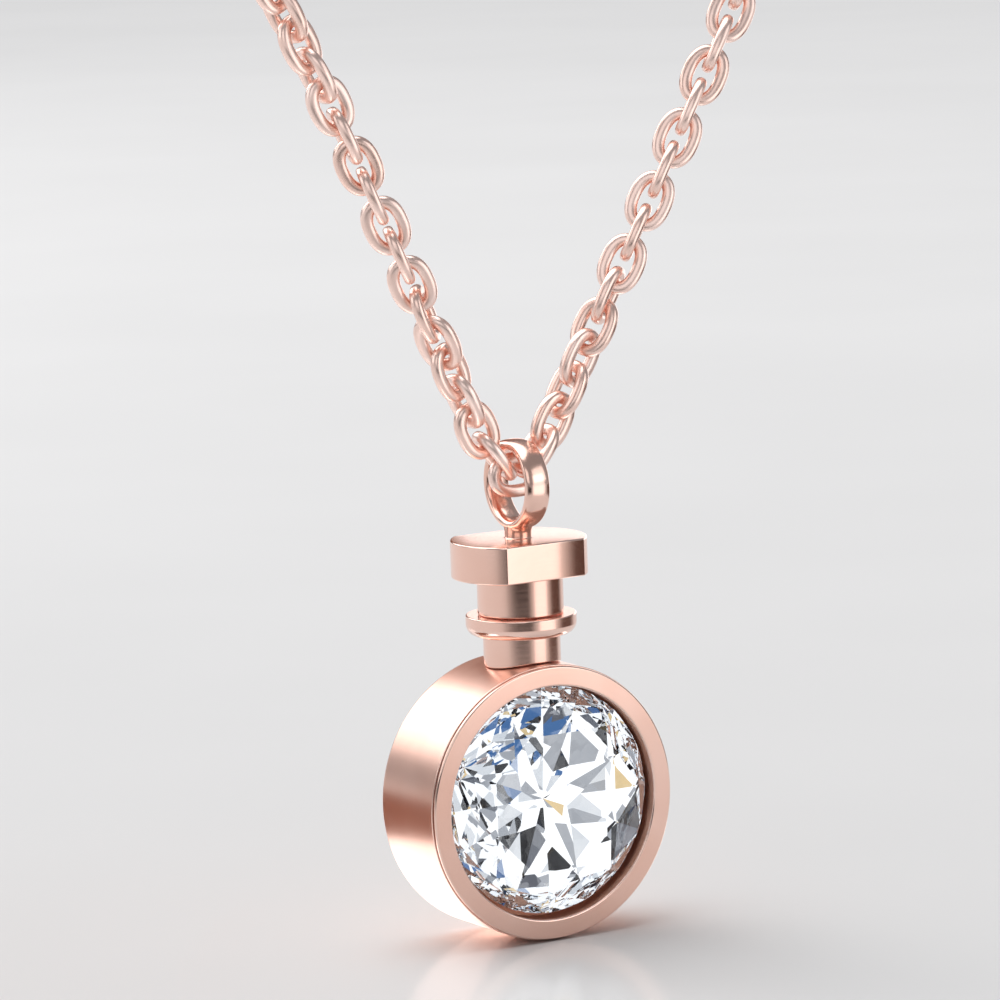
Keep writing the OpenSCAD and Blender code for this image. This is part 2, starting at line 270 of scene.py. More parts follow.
def eased(corners, closed=True, steps=4):
    """corners: (offset, height, radius of the round). Gives points, ways out and edge marks."""
    points, facing, edge = [], [], []
    n = len(corners)
    for i, (x, z, radius) in enumerate(corners):
        here = np.array([x, z], float)
        if not closed and i in (0, n - 1):
            other = np.array(corners[1 if i == 0 else n - 2][:2], float)
            along = unit(other - here if i == 0 else here - other)
            points.append(here)
            facing.append([along[1], -along[0]])
            edge.append(0.0)
            continue
        a = unit(here - np.array(corners[i - 1][:2], float))
        b = unit(np.array(corners[(i + 1) % n][:2], float) - here)
        radius = max(radius, LEAST_ROUND)
        turn = math.atan2(a[0] * b[1] - a[1] * b[0], a @ b)
        start, side = here - a * abs(radius * math.tan(turn / 2)), np.sign(turn)
        normal = np.array([a[1], -a[0]])
        for k in range(steps + 1):
            c, s = math.cos(turn * k / steps), math.sin(turn * k / steps)
            spun = np.array([normal[0] * c - normal[1] * s, normal[0] * s + normal[1] * c])
            points.append(start + (spun - normal) * side * radius)
            facing.append(spun)
            edge.append(1.0 if side > 0 and 0 < k < steps else 0.0)
    return np.array(points), np.array(facing), edge


def unit(v):
    return np.asarray(v, float) / np.linalg.norm(v)


# %% A profile carried round an outline
FRONT = np.array([[1, 0, 0], [0, 0, 1], [0, -1, 0]], float)     # turned about the drum's axis
UPWARD = np.eye(3)                                              # turned about the upright axis
SIDEWAYS = np.array([[0, 0, -1], [0, 1, 0], [1, 0, 0]], float)  # turned about the X axis


def round_outline(sides):
    a = np.linspace(0, 2 * math.pi, sides, endpoint=False)
    ways = np.stack([np.cos(a), np.sin(a)], 1)
    return ways * 0, ways


def built_up(profile, axes, centre, outline, finish, closed=True):
    """One part of a piece. finish is a material, or gives one for an offset and a height."""
    base, ways = outline
    n = len(base)
    verts, normals, edge, rows = [], [], [], []
    last = len(profile[0]) - 1
    for i, ((offset, height), (out, rise), mark) in enumerate(zip(*profile)):
        flat = np.column_stack([base + ways * offset, np.full(n, height)])
        way = np.column_stack([ways * out, np.full(n, rise)])
        if not closed and i in (0, last):
            flat, way = np.array([[0, 0, height]]), np.array([[0, 0, math.copysign(1, rise)]])
        rows.append(range(len(verts), len(verts) + len(flat)))
        verts.extend(flat @ axes)
        normals.extend(way @ axes)
        edge.extend([mark] * len(flat))
    faces, finishes = [], []
    for i in range(len(rows) if closed else len(rows) - 1):
        j = (i + 1) % len(rows)
        middle = (profile[0][i] + profile[0][j]) / 2
        for k in range(n):
            m = (k + 1) % n
            face = [rows[i][k % len(rows[i])], rows[i][m % len(rows[i])],
                    rows[j][m % len(rows[j])], rows[j][k % len(rows[j])]]
            faces.append(list(dict.fromkeys(face)))
            finishes.append(finish(*middle) if callable(finish) else finish)
    return np.array(verts) + centre, faces, np.array(normals), edge, finishes


# %% Parts joined into one piece
def piece(name, parts, body, nodes):
    mesh = bpy.data.meshes.new(name)
    verts, faces, normals, edge, finishes = [], [], [], [], []
    for v, f, way, mark, finish in parts:
        faces.extend([[i + len(verts) for i in face] for face in f])
        verts.extend(v)
        normals.extend(way)
        edge.extend(mark)
        finishes.extend(finish)
    given = [np.mean([normals[i] for i in face], axis=0) for face in faces]
    corners = np.array(verts)
    for k, face in enumerate(faces):
        across = np.cross(corners[face[1]] - corners[face[0]], corners[face[2]] - corners[face[1]])
        if across @ given[k] < 0:
            face.reverse()
    mesh.from_pydata((corners * MM).tolist(), [], faces)
    for material in dict.fromkeys(finishes):
        mesh.materials.append(material)
    order = list(dict.fromkeys(finishes))
    mesh.polygons.foreach_set("material_index", [order.index(m) for m in finishes])
    mesh.polygons.foreach_set("use_smooth", [True] * len(faces))
    mesh.attributes.new("edge", "FLOAT", "POINT").data.foreach_set("value", edge)
    mesh.normals_split_custom_set_from_vertices([unit(way) for way in normals])
    made = bpy.data.objects.new(name, mesh)
    bpy.context.scene.collection.objects.link(made)
    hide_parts(*nodes)
    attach(made, body)
    print(name, len(faces), "faces,", len(order), "finishes")
    return made


# %% [markdown]
# ## The drum and its bezel
#
# The drum is a shallow turned box with a closed back: the bottle's body. Inside, a shelf carries
# the stone. The bezel is a ring with a sleeve that presses into the drum, and a hair of a gap shows
# where the two meet. Its front is smooth, but the wall round the stone was never polished and stays
# sandy. That wall and the inside of the drum are also given a deeper, browner colour, which is
# painted shade in the recess. The inside is modelled as well, because a clear stone shows what is
# behind it.
# Both are profiles with an arc on each corner, so the line of light on every edge comes from
# geometry. Two sizes are fitted to the photograph and differ from the solids: the seam lies 0.17 mm
# behind the front face, and the gem fills the hole a little more than the solid stone does.

# %% Drum and bezel sizes
HALF, CASE_R = CASE_DEPTH / 2, CASE_D / 2
BEZEL_W, BEZEL_STEP, FLANGE_T = 1.05, 0.06, 0.17
WALL, BACK_T, FIT = 0.5, 0.5, 0.05
HOLE_R, SLEEVE_R, BEZEL_R = CASE_R - BEZEL_W, CASE_R - WALL - FIT, CASE_R - BEZEL_STEP
BACK_INSIDE, FACE_BACK = BACK_T - HALF, HALF - FLANGE_T
print("hole for the stone:", round(2 * HOLE_R, 2), "mm across")

# %% [markdown]
# A shelf in the drum carries the stone. In the solids its edge lies just under the stone's deep,
# cone-shaped back, so its height follows from the slope of that back and is worked out the same way
# here. The dressed stone gets a shallower back further on, and clears the shelf by more.

# %% Seat sizes
STONE_GAP, GEM_GAP, SHELF_W = 0.25, 0.17, 0.35
GEM_R, SEAT_R = HOLE_R - GEM_GAP, HOLE_R - STONE_GAP - SHELF_W
GIRDLE_SUNK, GIRDLE_T, CULET_GAP, SEAT_GAP = 0.7, 0.25, 0.15, 0.08
GIRDLE_FRONT = HALF - GIRDLE_SUNK
PAVILION_H = GIRDLE_FRONT - GIRDLE_T - BACK_INSIDE - CULET_GAP
FACETS = 8
HALF_STEP = math.pi / FACETS
CUT_R = GEM_R / math.cos(HALF_STEP / 2) + 0.01    # the facets' corners, outside the round girdle
LOWER_R = 0.22 * GEM_R                            # where the facets behind the girdle end
LOWER_Z = -PAVILION_H * (1 - LOWER_R * math.cos(HALF_STEP) / CUT_R)
SEAT_FRONT = (GIRDLE_FRONT - GIRDLE_T
              + LOWER_Z * (CUT_R - SEAT_R) / (CUT_R - LOWER_R) - SEAT_GAP)
print("seat:", round(HALF - SEAT_FRONT, 2), "mm behind the front face")


# %% Drum
DRUM_SIDES = 192
# Where the sanded finish, with its painted recess shade, goes inside the drum
SANDED_SHADED_R, SANDED_SHADED_FROM = SLEEVE_R + 0.06, BACK_INSIDE - 0.01


def drum_finish(radius, height):
    return sanded_shaded if radius < SANDED_SHADED_R and height > SANDED_SHADED_FROM else satin


drum_profile = eased([(0, -HALF, 0), (CASE_R, -HALF, 0.25),
                      (CASE_R, FACE_BACK - FIT, 0.05), (SLEEVE_R + FIT, FACE_BACK - FIT, 0.02),
                      (SLEEVE_R + FIT, SEAT_FRONT, 0.03), (SEAT_R, SEAT_FRONT, 0.05),
                      (SEAT_R, BACK_INSIDE, 0.1), (0, BACK_INSIDE, 0)], closed=False, steps=6)
drum_part = built_up(drum_profile, FRONT, CASE, round_outline(DRUM_SIDES), drum_finish,
                     closed=False)
drum = piece("drum_shell", [drum_part], "pendant", ["drum_case"])


# %% Bezel
# Where the sanded finish, with its painted recess shade, goes on the wall round the stone
SANDED_SHADED_HOLE_R, SANDED_SHADED_TO = HOLE_R + 0.01, HALF - 0.08


def bezel_finish(radius, height):
    return sanded_shaded if radius < SANDED_SHADED_HOLE_R and height < SANDED_SHADED_TO else face


bezel_profile = eased([(HOLE_R, SEAT_FRONT + FIT, 0.03), (SLEEVE_R, SEAT_FRONT + FIT, 0.03),
                       (SLEEVE_R, FACE_BACK, 0.02), (BEZEL_R, FACE_BACK, 0.03),
                       (BEZEL_R, HALF, 0.1), (HOLE_R, HALF, 0.09)], steps=6)
bezel_part = built_up(bezel_profile, FRONT, CASE, round_outline(DRUM_SIDES), bezel_finish)
bezel = piece("bezel_ring", [bezel_part], "pendant", ["bezel"])

# %% [markdown]
# ## The neck with its collar
#
# A short tube with a collar stands on the drum, as on a bottle. The collar's lower edge has a wide
# round and its upper edge is crisp. The foot is cut to a saddle, so it follows the drum with an
# even dark line between them. The lathe profile ends flat, and the points of its foot are then
# moved onto the saddle, which is a cylinder a little larger than the drum. The foot's pole is
# lifted more, because the flat fan of faces round it would dip into the curved drum.

# %% Neck
NECK_R, COLLAR_R, FOOT, NECK_SIDES = 1.95, 2.8, -9.5, 160
FOOT_ZONE, POLE_ZONE, POLE_LIFT = 0.2, 0.01, 0.12
neck_profile = eased([(0, FOOT, 0), (NECK_R, FOOT, 0.07), (NECK_R, COLLAR_BOTTOM, 0.04),
                      (COLLAR_R, COLLAR_BOTTOM, 0.55), (COLLAR_R, COLLAR_TOP, 0.07),
                      (0, COLLAR_TOP, 0)], closed=False, steps=7)
neck_part = built_up(neck_profile, UPWARD, EYE, round_outline(NECK_SIDES), polished,
                     closed=False)
saddle_r = CASE_R + FIT
for point, way in zip(neck_part[0], neck_part[2]):
    if point[2] < EYE[2] + FOOT + FOOT_ZONE:
        lift = CASE_Z + math.sqrt(saddle_r ** 2 - point[0] ** 2) - FOOT
        if abs(point[0]) + abs(point[1] - EYE[1]) < POLE_ZONE:
            lift += POLE_LIFT
        point[2] += lift
        if way[2] < -0.9:    # the foot itself, not the round at its edge
            way[:] = [-point[0], 0, -(lift + FOOT - CASE_Z)]
neck = piece("collar_neck", [neck_part], "pendant", ["neck"])

# %% [markdown]
# ## The stopper
#
# The stopper is one soldered piece: a round cap with a flat cut in front and behind, a short neck,
# a post and the eye that hangs on the chain. Polishing never leaves a flat quite flat, so its
# direction turns towards both ends, by a few degrees at one and many at the other, and that is
# what makes its reflection fade sideways. The post spreads where it meets the cap and the eye, and
# the eye is a band with soft shoulders.

# %% Outline of the cap
CAP_R, CAP_DEPTH, CAP_EASE = 3.45, 5.24, 0.07
PILLOW, PILLOW_POWER = {-1: math.radians(23), 1: math.radians(4)}, 1.25
ROUND_STEPS, CORNER_STEPS, FLAT_STEPS = 41, 7, 33


def cap_outline():
    """A circle with a flat in front and behind: base points, and the ways out of them."""
    inner = CAP_R - CAP_EASE
    flat_y = CAP_DEPTH / 2 - CAP_EASE
    corner = math.asin(flat_y / inner)
    flat_x = inner * math.cos(corner)
    base, ways = [], []
    for start in (0, math.pi):
        rows = [(inner * math.cos(a), inner * math.sin(a), a)
                for a in np.linspace(-corner, corner, ROUND_STEPS)]
        rows += [(flat_x, flat_y, a)
                 for a in np.linspace(corner, math.pi / 2 - PILLOW[1], CORNER_STEPS)[1:]]
        for u in np.linspace(1, -1, FLAT_STEPS)[1:-1]:
            tilt = PILLOW[np.sign(u) or 1] * abs(u) ** PILLOW_POWER
            rows.append((flat_x * u, flat_y, math.pi / 2 - math.copysign(tilt, u)))
        rows += [(-flat_x, flat_y, a)
                 for a in np.linspace(math.pi / 2 + PILLOW[-1], math.pi - corner,
                                      CORNER_STEPS)[:-1]]
        c, s = math.cos(start), math.sin(start)
        base += [(x * c - y * s, x * s + y * c) for x, y, _ in rows]
        ways += [(math.cos(w + start), math.sin(w + start)) for _, _, w in rows]
    return np.array(base), np.array(ways)


# %% Cap and upper neck
UPPER_R, OVERLAP = 2.175, 0.1
AXIS = -99.0    # an end of an open profile, whose offset isn't used: it becomes the pole
cap_profile = eased([(AXIS, CAP_BOTTOM, 0), (CAP_EASE, CAP_BOTTOM, 0.07),
                     (CAP_EASE, CAP_TOP, 0.09), (AXIS, CAP_TOP, 0)], closed=False, steps=5)
cap_profile[1][-2] = unit([0.07, 1])
cap = built_up(cap_profile, UPWARD, EYE, cap_outline(), polished, closed=False)
upper_profile = eased([(0, COLLAR_TOP + FIT, 0), (UPPER_R, COLLAR_TOP + FIT, 0.05),
                       (UPPER_R, CAP_BOTTOM + OVERLAP, 0.02), (0, CAP_BOTTOM + OVERLAP, 0)],
                      closed=False, steps=5)
upper = built_up(upper_profile, UPWARD, EYE, round_outline(NECK_SIDES), polished, closed=False)

# %% Post
POST_R, POST_SPREAD, POST_TOP, POST_SIDES = 0.675, 0.1, -2.1, 64
POST_FOOT_R = POST_R + POST_SPREAD
POST_BOTTOM, FILLET_FROM = CAP_TOP - 0.05, CAP_TOP + 0.01
FLARE_FROM, FLARE_H, FLARE_WIDENS, FLARE_TILTS = -2.5, 0.4, 0.36, 1.2
post_points, post_ways, post_edge = eased(
    [(0, POST_BOTTOM, 0), (POST_FOOT_R, POST_BOTTOM, 0), (POST_FOOT_R, FILLET_FROM, 0),
     (POST_R, FILLET_FROM, 0.06), (POST_R, POST_TOP, 0), (0, POST_TOP, 0)],
    closed=False, steps=6)
flare = np.linspace(-2.45, -2.18, 4)    # heights of the extra rings that the spread bends
below_eye = int(np.argmax(post_points[:, 1] > POST_TOP - 0.1))
post_points = np.insert(post_points, below_eye, [(POST_R, z) for z in flare], axis=0)
post_ways = np.insert(post_ways, below_eye, [(1, 0)] * len(flare), axis=0)
post_edge[below_eye:below_eye] = [0.0] * len(flare)
post = built_up((post_points, post_ways, post_edge), UPWARD, EYE, round_outline(POST_SIDES),
                polished, closed=False)
for point, way in zip(post[0], post[2]):
    rise = (point[2] - EYE[2] - FLARE_FROM) / FLARE_H
    if rise > 0:
        point[1] += (point[1] - EYE[1]) * (FLARE_WIDENS * rise ** 2)
        way[2] -= FLARE_TILTS * rise * abs(way[1])

# %% Eye ring
EYE_BORE_R, EYE_R, EYE_HALF = 1.75, 2.3, 0.69
EYE_SQUARE, EYE_THICKER, EYE_STEPS, EYE_SIDES = 2.4, 0.05, 44, 128
angle = np.linspace(0, 2 * math.pi, EYE_STEPS, endpoint=False)
outward, sideward = np.cos(angle), np.sin(angle)
bulge = (abs(outward) ** EYE_SQUARE + abs(sideward) ** EYE_SQUARE) ** (-1 / EYE_SQUARE)
eye_mid, eye_half = (EYE_R + EYE_BORE_R) / 2, (EYE_R - EYE_BORE_R) / 2
eye_points = np.column_stack([eye_mid + eye_half * bulge * outward, EYE_HALF * bulge * sideward])
eye_ways = np.column_stack([
    np.sign(outward) * abs(outward) ** (EYE_SQUARE - 1) / eye_half,
    np.sign(sideward) * abs(sideward) ** (EYE_SQUARE - 1) / EYE_HALF])
eye_ways /= np.linalg.norm(eye_ways, axis=1, keepdims=True)
eye = built_up((eye_points, eye_ways, [0.0] * EYE_STEPS), SIDEWAYS, EYE,
               round_outline(EYE_SIDES), polished)
for point in eye[0]:
    out = point[1:] - EYE[1:]
    r = np.linalg.norm(out)
    share = (out[0] / r) ** 2
    point[1:] -= out / r * (EYE_THICKER * share * (EYE_R - r) / (EYE_R - EYE_BORE_R))

# %% The stopper in one piece
stopper = piece("stopper_top", [cap, upper, post, eye], "pendant",
                ["stopper"])

# %% [markdown]
# ## The chain
#
# A cable chain is one link, repeated, each a quarter turn on from the last. The way it takes is a
# smooth curve through a few points, the same as the solids take, and each link gets a place, a
# direction and the way its flat side faces. Geometry Nodes then set one link on each point.

# %% Where each link sits
LINK_L, LINK_W, WIRE_D, LINK_GAP = 3.1, 2.3, 0.62, 0.12
LOOP_W, LOOP_REACH, LOOP_DROP = 114.0, 100.0, 78.0
SHARES = [(0, 1, 1), (0.214, 1.018, 0.7115), (0.421, 1.012, 0.436), (0.658, 0.935, 0.2436),
          (0.877, 0.79, 0.141), (1, 0.61, 0.09), (1, 0.41, 0.0577), (0.86, 0.22, 0.032),
          (0.6, 0.08, 0.013)]
route = np.array([[x * LOOP_W / 2, -y * LOOP_REACH, -z * LOOP_DROP] for x, y, z in SHARES])
TURNS = {"left": [(1, -6), (2, -3), (4, 18), (7, 64), (8, 67), (11, 67), (15, 112)],
         "right": [(1, 8), (2, 9), (4, 18), (7, 56), (16, 57)]}
CLASP_TURN = {"left": 180, "right": 0}
end_reach, end_hook = (LINK_L - WIRE_D) / 2, WIRE_D + LINK_GAP
CLASP_R, TAIL_R, CLASP_T, TAIL_T = 2.375, 1.0, 0.75, 0.6
clasp_end = TAIL_R + (CLASP_T - TAIL_T) / 4 + CLASP_R - CLASP_T / 2
last_link = np.array([clasp_end - LINK_GAP - WIRE_D / 2 + end_reach, 0, 0])

eye_link = EYE + [0, 0, EYE_BORE_R - LINK_GAP - LINK_W / 2]
FIRST_SLOPE = 52    # degrees at which the first link of each strand rises
slope = math.radians(FIRST_SLOPE)
slope_way = np.array([math.cos(slope), 0, math.sin(slope)])
first_link = eye_link + [(LINK_L - LINK_W) / 2, 0, 0] + slope_way * (
    (LINK_W - WIRE_D) / 2 - end_hook + end_reach)
first_end = first_link + slope_way * end_reach
second_link = first_end + unit(route[1] - first_end) * (end_reach - end_hook)

# %% A smooth curve through the route's points
CURVE_STEPS = 24
knots = np.vstack([second_link, route[1:], last_link])
ahead = np.vstack([2 * knots[0] - knots[1], knots, knots[-2] * [-1, 1, 1]])
curve = []
for a, b, c, d in zip(ahead, ahead[1:], ahead[2:], ahead[3:]):
    for t in np.arange(CURVE_STEPS) / CURVE_STEPS:
        curve.append(b + 0.5 * t * ((c - a) + t * ((2 * a - 5 * b + 4 * c - d)
                                                   + t * (3 * b - a - 3 * c + d))))
curve = np.array(curve + [knots[-1]])
run = np.concatenate([[0], np.cumsum(np.linalg.norm(np.diff(curve, axis=0), axis=1))])
link_steps = 2 * math.ceil((run[-1] / (LINK_L - 2 * WIRE_D - LINK_GAP) - 1) / 2) + 1
link_pitch = run[-1] / link_steps
print("one strand:", round(run[-1], 2), "mm,", link_steps + 2, "links, pitch", round(link_pitch, 3))


def on_curve(s):
    return np.array([np.interp(s, run, curve[:, i]) for i in range(3)])


def strand(side):
    """Rows of a link's place, its length's direction and its flat side's direction."""
    sign = -1 if side == "left" else 1
    numbers, turns = zip(*[(k, sign * t) for k, t in TURNS[side]],
                         (link_steps + 2, sign * CLASP_TURN[side]))
    rows = [(first_link, slope_way, np.array([0, -1.0, 0]), 90 + np.interp(1, numbers, turns))]
    for k in range(link_steps + 1):
        s, share = k * link_pitch, k / link_steps
        way = on_curve(min(s + end_reach, run[-1])) - on_curve(max(s - end_reach, 0))
        a = math.pi * share * share * (3 - 2 * share)
        rows.append((on_curve(s), way, np.array([math.sin(a), -math.cos(a), 0]),
                     90 * (k + 2) + np.interp(k + 2, numbers, turns)))
    placed = []
    for at, way, facing, turn in rows:
        x = unit(way)
        z = unit(facing - (facing @ x) * x)
        y = np.cross(z, x)
        a = math.radians(turn)
        z = z * math.cos(a) - y * math.sin(a)
        placed.append(np.array([at, x, z]) * [sign, 1, 1])
    return placed


links = np.array([np.array([eye_link, [1, 0, 0], [0, -1, 0]])] + strand("right") + strand("left"))
print(len(links), "links")

# %% [markdown]
# The links are bent from flattened wire, so a link is a full oval with flat faces and soft bright
# rims, a little thinner at its ends. In nodes that is a circle, squared a little and stretched, and
# a more squared circle as the wire's section, carried round it with a radius that shrinks at the
# ends. A link that the photograph shows close up gets fine steps. The two hundred others are small
# from any side, so they get few. Both kinds stand in one list, and each point picks its kind by
# number. Geometry to Instance counts that list from its end, so the plain link is number 0 and
# the fine link number 1.

# %% Geometry Nodes: the section, the link and the chain
def chain_tree(material):
    tree = bpy.data.node_groups.new("cable_chain", "GeometryNodeTree")
    sizes = {"Link length": LINK_L - 0.02, "Link width": LINK_W, "Wire width": 0.64,
             "Wire thickness": 0.58, "Narrowing at the ends": 0.12, "Squareness": 2.5,
             "Fullness": 2.4}
    counts = {"Fine steps": 48, "Fine section": 18, "Plain steps": 14, "Plain section": 6}
    tree.interface.new_socket("Points", in_out="INPUT", socket_type="NodeSocketGeometry")
    for kind, values in (("NodeSocketFloat", sizes), ("NodeSocketInt", counts)):
        for name, value in values.items():
            socket = tree.interface.new_socket(name, in_out="INPUT", socket_type=kind)
            socket.default_value = value
    tree.interface.new_socket("Chain", in_out="OUTPUT", socket_type="NodeSocketGeometry")

    def add(kind, settings=None, sockets=None):
        node = tree.nodes.new(kind)
        for key, value in (settings or {}).items():
            setattr(node, key, value)
        for key, value in (sockets or {}).items():
            for one in value if isinstance(value, list) else [value]:
                if isinstance(one, bpy.types.NodeSocket):
                    tree.links.new(one, node.inputs[key])
                else:
                    node.inputs[key].default_value = one
        return node.outputs[0]

    def maths(operation, a, b=0.0):
        return add("ShaderNodeMath", {"operation": operation}, {0: a, 1: b})

    def parts(vector):
        split = add("ShaderNodeSeparateXYZ", None, {0: vector}).node
        return [split.outputs[c] for c in "XYZ"]

    def stretched(curve, x, y):
        size = add("ShaderNodeCombineXYZ", None, {"X": x, "Y": y, "Z": 1.0})
        return add("GeometryNodeTransform", None, {"Geometry": curve, "Scale": size})

    given = add("NodeGroupInput").node.outputs
    wire = given["Wire width"]
    shrink = given["Narrowing at the ends"]
    end_wire = maths("MULTIPLY", wire, maths("SUBTRACT", 1.0, shrink))
    long_r = maths("MULTIPLY", maths("SUBTRACT", given["Link length"], end_wire), 0.5)
    wide_r = maths("MULTIPLY", maths("SUBTRACT", given["Link width"], wire), 0.5)

    def squared(curve, power):
        x, y, _ = parts(add("GeometryNodeInputPosition"))
        total = maths("ADD", maths("POWER", maths("ABSOLUTE", x), power),
                      maths("POWER", maths("ABSOLUTE", y), power))
        out = maths("POWER", total, maths("DIVIDE", -1.0, power))
        place = add("ShaderNodeVectorMath", {"operation": "SCALE"},
                    {0: add("GeometryNodeInputPosition"), "Scale": out})
        return add("GeometryNodeSetPosition", None, {"Geometry": curve, "Position": place})

    def link(steps, section_steps):
        circle = squared(add("GeometryNodeCurvePrimitiveCircle", None,
                             {"Resolution": steps, "Radius": 1.0}), given["Fullness"])
        at_end = maths("ABSOLUTE", parts(add("GeometryNodeInputPosition"))[0])
        radius = maths("SUBTRACT", 1.0, maths("MULTIPLY", shrink, maths("POWER", at_end, 2.0)))
        narrowed = add("GeometryNodeSetCurveRadius", None, {"Curve": circle, "Radius": radius})
        level = add("GeometryNodeSetCurveNormal", {"mode": "Z_UP"}, {"Curve": narrowed})
        oval = stretched(level, long_r, wide_r)
        ring = add("GeometryNodeCurvePrimitiveCircle", None,
                   {"Resolution": section_steps, "Radius": 1.0})
        section = stretched(squared(ring, given["Squareness"]), maths("MULTIPLY", wire, 0.5),
                            maths("MULTIPLY", given["Wire thickness"], 0.5))
        solid = add("GeometryNodeCurveToMesh", None, {"Curve": oval, "Profile Curve": section})
        return add("GeometryNodeSetShadeSmooth", None, {"Geometry": solid})

    kinds = add("GeometryNodeGeometryToInstance", None,
                {0: [link(given["Fine steps"], given["Fine section"]),
                     link(given["Plain steps"], given["Plain section"])]})
    ways = [add("GeometryNodeInputNamedAttribute", {"data_type": "FLOAT_VECTOR"}, {"Name": name})
            for name in ("along", "facing")]
    turn = add("FunctionNodeAxesToRotation", {"primary_axis": "X", "secondary_axis": "Z"},
               {0: ways[0], 1: ways[1]})
    fine = add("GeometryNodeInputNamedAttribute", {"data_type": "INT"}, {"Name": "fine"})
    placed = add("GeometryNodeInstanceOnPoints", None,
                 {"Points": given["Points"], "Instance": kinds, "Pick Instance": True,
                  "Instance Index": fine, "Rotation": turn, "Scale": (MM, MM, MM)})
    chance = add("FunctionNodeRandomValue", {"data_type": "FLOAT"}, {"Seed": 7}).node.outputs[1]
    toned = add("GeometryNodeStoreNamedAttribute", {"data_type": "FLOAT", "domain": "INSTANCE"},
                {"Geometry": placed, "Name": "tone", "Value": chance})
    real = add("GeometryNodeRealizeInstances", None, {"Geometry": toned})
    dressed = add("GeometryNodeSetMaterial", None, {"Geometry": real, "Material": material})
    tree.links.new(dressed, tree.nodes.new("NodeGroupOutput").inputs[0])
    return tree


# %% [markdown]
# A chain is tumbled, so its rose gold is a little softer than the stopper's and no two links are
# quite alike. The tree gives every link a random `tone`, which the material turns into a slightly
# deeper or lighter coat and a slightly different gloss.

# %% Chain finish
LINK_DEEP, LINK_LIGHT = (0.93, 0.66, 0.57, 1), (0.97, 0.76, 0.69, 1)


def chain_gold():
    bench = Bench("rose_gold_links")
    place = bench.node("ShaderNodeTexCoord", out="Object")
    local = bench.node("ShaderNodeMapping", {"vector_type": "TEXTURE"},
                       {"Vector": place, "Scale": (MM,) * 3})
    tone = bench.node("ShaderNodeAttribute", {"attribute_name": "tone"}, out="Fac")
    worn = bench.node("ShaderNodeTexNoise", None, {"Vector": local, "Scale": 1.3, "Detail": 4.0})
    coat = bench.node("ShaderNodeValToRGB", {"stops": [(0.25, LINK_DEEP), (0.8, LINK_LIGHT)]},
                      {"Fac": worn * 0.7 + tone * 0.3})
    dents = bench.node("ShaderNodeTexNoise", None, {"Vector": local, "Scale": 2.6, "Detail": 1.0})
    bump = bench.node("ShaderNodeBump", None, {"Height": dents * 0.004, "Strength": 1.0,
                      "Distance": MM})
    return bench.finish(Base_Color=coat, Metallic=1.0, Normal=bump,
                        Roughness=0.24 + 0.08 * worn + 0.05 * tone)


# %% Run the tree and keep a plain mesh
CLOSE_UP = 17    # links of each strand that the photograph shows


def grown(name, dots, tree):
    """The mesh that a tree makes of some points. The modifier goes again."""
    holder = bpy.data.objects.new(name, dots)
    bpy.context.scene.collection.objects.link(holder)
    holder.modifiers.new(name, "NODES").node_group = tree
    ready = holder.evaluated_get(bpy.context.evaluated_depsgraph_get())
    mesh = bpy.data.meshes.new_from_object(ready)
    bpy.data.objects.remove(holder)
    made = bpy.data.objects.new(name, mesh)
    bpy.context.scene.collection.objects.link(made)
    return made


dots = bpy.data.meshes.new("link_points")
dots.from_pydata((links[:, 0] * MM).tolist(), [], [])
for i, name in ((1, "along"), (2, "facing")):
    ways = dots.attributes.new(name, "FLOAT_VECTOR", "POINT")
    ways.data.foreach_set("vector", links[:, i].ravel())
per_side = (len(links) - 1) // 2
near = [1] + ([1] * CLOSE_UP + [0] * (per_side - CLOSE_UP)) * 2
dots.attributes.new("fine", "INT", "POINT").data.foreach_set("value", near)
chain = grown("chain_links", dots, chain_tree(chain_gold()))
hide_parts("chain_left", "chain_right")
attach(chain, "necklace")
print("chain:", len(chain.data.polygons), "faces")

# %% [markdown]
# ## The stone
#
# A round brilliant has one pattern of facets, repeated eight times round its axis: part of the
# table, a star, the halves of two kites, two girdle halves, two faces of the girdle and ten facets
# behind. So one eighth is drawn, Geometry Nodes turn it round eight times and merge the copies, and
# a boolean with a cylinder rounds the girdle, as the cutter does. Flat shading matters more here
# than anywhere: the sparkle is light that is mirrored by flat planes.
#
# A stone with the usual deep back mirrors light inside again and again, and in a picture this small
# that breaks into crumbs. The photograph shows large, crisp patches, as of a stone with foil behind
# it. So the back is drawn shallow, in four rings of facets, and silvered: each facet mirrors once.

# %% One eighth of a brilliant
def ring_point(r, z, angle):
    return (r * math.cos(angle), r * math.sin(angle), z)


CROWN_H, BACK_H = 0.95, 1.08
TABLE_R = 0.65 * GEM_R
STAR_R = TABLE_R * math.cos(HALF_STEP) * math.sqrt(2)
STAR_Z = CROWN_H * (CUT_R - STAR_R * math.cos(HALF_STEP)) / (CUT_R - TABLE_R)
